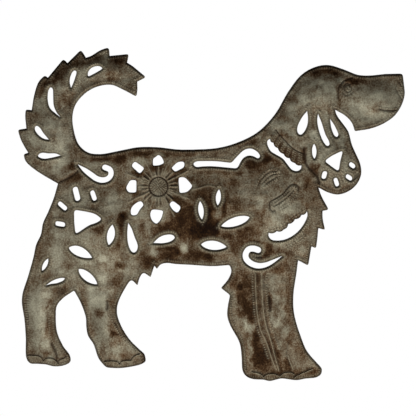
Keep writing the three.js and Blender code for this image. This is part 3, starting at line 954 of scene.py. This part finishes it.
    ((336, 70), (7, 12), 0, 0.5),
    ((358, 13), (15, 6), 0, 0.7),
    ((351, 25), (6, 8), 0, 0.4),
    # Near hind leg.
    ((124, 103), (10, 10), 0, -0.9),
    ((115, 118), (7, 9), 0, 0.5),
    ((148, 35), (9, 7), 0, 0.6),
    ((145, 55), (8, 7), 0, -0.4),
    ((141, 118), (10, 26), 0, -0.7),
    ((118, 92), (10, 16), 0, 0.4),
    ((128, 74), (12, 32), -15, 0.5),
    ((143, 71), (9, 7), 0, -1.0),
    ((142, 86), (9, 14), -20, -0.4),
    ((149, 48), (10, 11), 0, 0.6),
    ((158, 36), (18, 7), -5, -0.3),
    ((174, 48), (12, 8), -40, 0.4),
    ((190, 34), (6, 14), 0, -0.9),
    # Far hind leg.
    ((20, 114), (8, 16), 0, 0.5),
    ((45, 41), (8, 7), 0, -0.8),
    ((40, 62), (8, 6), 0, -0.5),
    ((30, 116), (22, 40), 0, 0.9),
    ((46, 130), (9, 8), 0, 0.7),
    ((46, 112), (10, 24), 0, -0.4),
    ((30, 72), (14, 46), -4, 0.6),
    ((50, 84), (9, 40), 0, -0.5),
    ((43, 58), (7, 12), -25, 0.6),
    ((30, 46), (12, 10), 0, -0.4),
    ((49, 104), (6, 14), 0, 0.6),
    ((22, 142), (14, 12), 0, -0.4),
    ((49, 34), (8, 6), 0, 0.9),
    ((20, 42), (10, 7), 0, -0.5),
    ((40, 32), (46, 7), 0, -0.3),
    ((44, 111), (4, 4), 0, -0.8),
]
all_points = np.vstack([front_points, back_points])
near = {name: np.concatenate([near_front[name], near_back[name]]) for name in near_front}
# Painted shade darkens the slopes, the grooves, creases and folds, and the gaps between strokes.
painted_shade = near["slope_shade"] * (1 - smooth_step(1.4 * near["edge_share"] - 0.1))
painted_shade += 0.6 * bump(near["score"], score_width) + bump(near["crease"], crease_width)
painted_shade += 0.9 * bump(near["fold"], fold_width + 0.1)
painted_shade += 0.45 * bump(near["bead"] - groove_from_bead, groove_width) * near["slope"]
painted_shade += 0.5 * bump(near["bead"], 1.3) * (1 - near["bead_stroke"]) ** 2
painted_shade += 0.7 * bump(near["stitch"], stitch_width) * np.maximum(0, 1 - near["stitch_stroke"]) ** 2
# The wire brush bares a band along each border, and the tops of strokes and ridges.
border_band = (near["bead"] < 9) * (1 - smooth_step((near["edge"] - 4.6) / 1.2))
rubbed = near["brushed"] * border_band + bump(near["bead"], 1.2) * (0.5 * near["bead_stroke"] - 0.1)
rubbed += bump(near["stitch"], stitch_width) * 0.95 * near["stitch_stroke"]
rubbed += 0.6 * bump(near["ridge"], ridge_width)
# The rim of each patch wanders with the heat of the fire.
wander = np.column_stack([waves(all_points, 14, 21), waves(all_points, 14, 22)]) * 1.5
patina_and_painted_light = sum(shade * np.sqrt(mound(all_points + wander, *shape)) for *shape, shade in patina_and_light_patches)


def keep_on(piece, name, values):
    """Stores one number for each point of a piece under a name that its finish can read."""
    layer = piece.data.attributes.new(name, "FLOAT", "POINT")
    layer.data.foreach_set("value", np.asarray(values, np.float32))


keep_on(dog, "painted_shade", np.clip(painted_shade, 0, 1))
keep_on(dog, "rubbed", np.clip(rubbed, 0, 1))
keep_on(dog, "patina_and_painted_light", patina_and_painted_light)

steel = bpy.data.materials.new("drum_steel")
steel.use_nodes = True
nodes, links = steel.node_tree.nodes, steel.node_tree.links
shader = nodes["Principled BSDF"]
shader.inputs["Metallic"].default_value = 0.9
shader.inputs["Specular IOR Level"].default_value = 0.2


def node(kind, **settings):
    """A new node with its sockets and settings filled in."""
    made = nodes.new(kind)
    for name, value in settings.items():
        if hasattr(made, name):
            setattr(made, name, value)
        else:
            made.inputs[name.replace("_", " ")].default_value = value
    return made


place = node("ShaderNodeTexCoord")


def noise(scale, detail, roughness=0.6, stretch=(1, 1, 1)):
    """Cloudy noise, `scale` clouds to the metre, drawn out along an axis where its stretch is below 1."""
    mapping = node("ShaderNodeMapping", Scale=stretch)
    links.new(place.outputs["Object"], mapping.inputs["Vector"])
    made = node("ShaderNodeTexNoise", Scale=scale, Detail=detail, Roughness=roughness)
    links.new(mapping.outputs["Vector"], made.inputs["Vector"])
    return made.outputs["Fac"]


def total(*parts):
    """The sum of values, each times a number: parts are (value, times)."""
    running = None
    for value, times in parts:
        made = node("ShaderNodeMath", operation="MULTIPLY_ADD")
        links.new(value, made.inputs[0])
        made.inputs[1].default_value = times
        if running is None:
            made.inputs[2].default_value = 0
        else:
            links.new(running, made.inputs[2])
        running = made.outputs[0]
    return running


def ramp(value, *stops):
    """A value turned into a colour by stops of (place, colour)."""
    made = node("ShaderNodeValToRGB")
    for k, (where, colour) in enumerate(stops):
        stop = made.color_ramp.elements[k] if k < 2 else made.color_ramp.elements.new(where)
        stop.position = where
        stop.color = (*colour, 1)
    links.new(value, made.inputs["Fac"])
    return made.outputs["Color"]


def mixed(amount, first, second):
    """The second colour over the first, by an amount from 0 to 1."""
    made = node("ShaderNodeMix", data_type="RGBA")
    for socket, value in ((0, amount), (6, first), (7, second)):
        if isinstance(value, (tuple, float)):
            made.inputs[socket].default_value = value
        else:
            links.new(value, made.inputs[socket])
    return made.outputs[2]


def attribute(name):
    """The number stored on the piece under a name."""
    return node("ShaderNodeAttribute", attribute_name=name).outputs["Fac"]


tone = total(
    (attribute("patina_and_painted_light"), 0.21),
    (noise(30, 4, 0.6), 0.28),
    (noise(90, 4, 0.65, (1, 1, 0.35)), 0.37),
    (noise(420, 3, 0.7), 0.55),
)
body = ramp(
    tone,
    (0.24, (0.004, 0.0015, 0.0005)),
    (0.92, (0.328, 0.312, 0.228)),
    (0.40, (0.020, 0.009, 0.003)),
    (0.49, (0.050, 0.028, 0.013)),
    (0.60, (0.108, 0.084, 0.054)),
    (0.72, (0.188, 0.171, 0.122)),
)
bared = mixed(attribute("rubbed"), body, (0.208, 0.182, 0.124, 1))
# Painted shade: slopes, grooves and the gaps between strokes are darkened towards brown-black.
finished = mixed(attribute("painted_shade"), bared, (0.020, 0.012, 0.007, 1))
links.new(finished, shader.inputs["Base Color"])
gloss = ramp(noise(60, 4), (0.3, (0.36, 0.36, 0.36)), (0.7, (0.54, 0.54, 0.54)))
links.new(gloss, shader.inputs["Roughness"])
grit = node("ShaderNodeBump", Strength=0.5, Distance=0.0005)
links.new(total((noise(500, 4, 0.7), 1.0), (noise(160, 3, 0.6, (1, 1, 0.4)), 1.2)), grit.inputs["Height"])
links.new(grit.outputs["Normal"], shader.inputs["Normal"])
dog.data.materials.append(steel)

# ---- The studio ----
# The sculpture hangs at eye height over a pale floor, under a dim ceiling, with three soft lights in front
# of it and one behind.
scene = bpy.context.scene
scene.view_settings.view_transform = "Standard"
floor_mesh = bpy.data.meshes.new("floor")
floor_mesh.from_pydata([(-3, -3, -1.5), (3, -3, -1.5), (3, 3, -1.5), (-3, 3, -1.5)], [], [(0, 1, 2, 3)])
floor = bpy.data.objects.new("floor", floor_mesh)
scene.collection.objects.link(floor)
floor_paint = bpy.data.materials.new("pale_floor")
floor_paint.use_nodes = True
paint = floor_paint.node_tree.nodes["Principled BSDF"]
paint.inputs["Base Color"].default_value = (0.8, 0.8, 0.79, 1)
paint.inputs["Roughness"].default_value = 0.8
paint.inputs["Emission Color"].default_value = (1, 1, 0.99, 1)
paint.inputs["Emission Strength"].default_value = 0.5
floor_mesh.materials.append(floor_paint)

camera_data = bpy.data.cameras.new("camera")
camera_data.lens = 85
camera = bpy.data.objects.new("camera", camera_data)
view_width = 0.624  # metres across the view, in the plane of the wall
view_distance = view_width * camera_data.lens / camera_data.sensor_width
camera.location = (0.015, -view_distance, -0.079)
camera.rotation_euler = (np.pi / 2, 0, 0)
scene.collection.objects.link(camera)
scene.camera = camera


def light(name, place, target, size, watts):
    """A square soft box of that width in metres, aimed at a point."""
    lamp = bpy.data.lights.new(name, "AREA")
    lamp.size = size
    lamp.energy = watts
    made = bpy.data.objects.new(name, lamp)
    away = np.array(place, float) - target
    made.location = place
    tilt = np.arccos(away[2] / np.linalg.norm(away))
    made.rotation_euler = (tilt, 0, np.arctan2(away[1], away[0]) + np.pi / 2)
    scene.collection.objects.link(made)


middle = np.array([0.015, 0, -0.08])
light("front_low", (0.15, -1.8, -0.65), middle, 1.3, 17)
light("front_left", (-1.5, -1.4, 0.1), middle, 1.0, 6)
light("front_right", (1.6, -1.2, 0.0), middle, 0.8, 3)
light("behind", (0.3, 1.8, 0.3), middle, 1.4, 22)

# The camera sees a white backdrop. The metal mirrors a room that is brightest towards the floor and dark
# overhead.
world = bpy.data.worlds.new("studio")
scene.world = world
world.use_nodes = True
sky_nodes, sky_links = world.node_tree.nodes, world.node_tree.links
direction = sky_nodes.new("ShaderNodeTexCoord")
height = sky_nodes.new("ShaderNodeSeparateXYZ")
sky_links.new(direction.outputs["Generated"], height.inputs["Vector"])
raised = sky_nodes.new("ShaderNodeMapRange")
sky_links.new(height.outputs["Z"], raised.inputs["Value"])
raised.inputs["From Min"].default_value = -1
shade = sky_nodes.new("ShaderNodeValToRGB")
sky_links.new(raised.outputs["Result"], shade.inputs["Fac"])
for k, (where, grey) in enumerate(((0.0, 0.7), (1.0, 0.02), (0.5, 0.50), (0.66, 0.16), (0.8, 0.03))):
    stop = shade.color_ramp.elements[k] if k < 2 else shade.color_ramp.elements.new(where)
    stop.position = where
    stop.color = (grey, grey, grey, 1)
seen = sky_nodes.new("ShaderNodeLightPath")
brightness = sky_nodes.new("ShaderNodeMath")
brightness.operation = "MAXIMUM"
sky_links.new(seen.outputs["Is Camera Ray"], brightness.inputs[0])
sky_links.new(shade.outputs["Color"], brightness.inputs[1])
backdrop = sky_nodes["Background"]
backdrop.inputs["Color"].default_value = (1, 1, 1, 1)
sky_links.new(brightness.outputs[0], backdrop.inputs["Strength"])
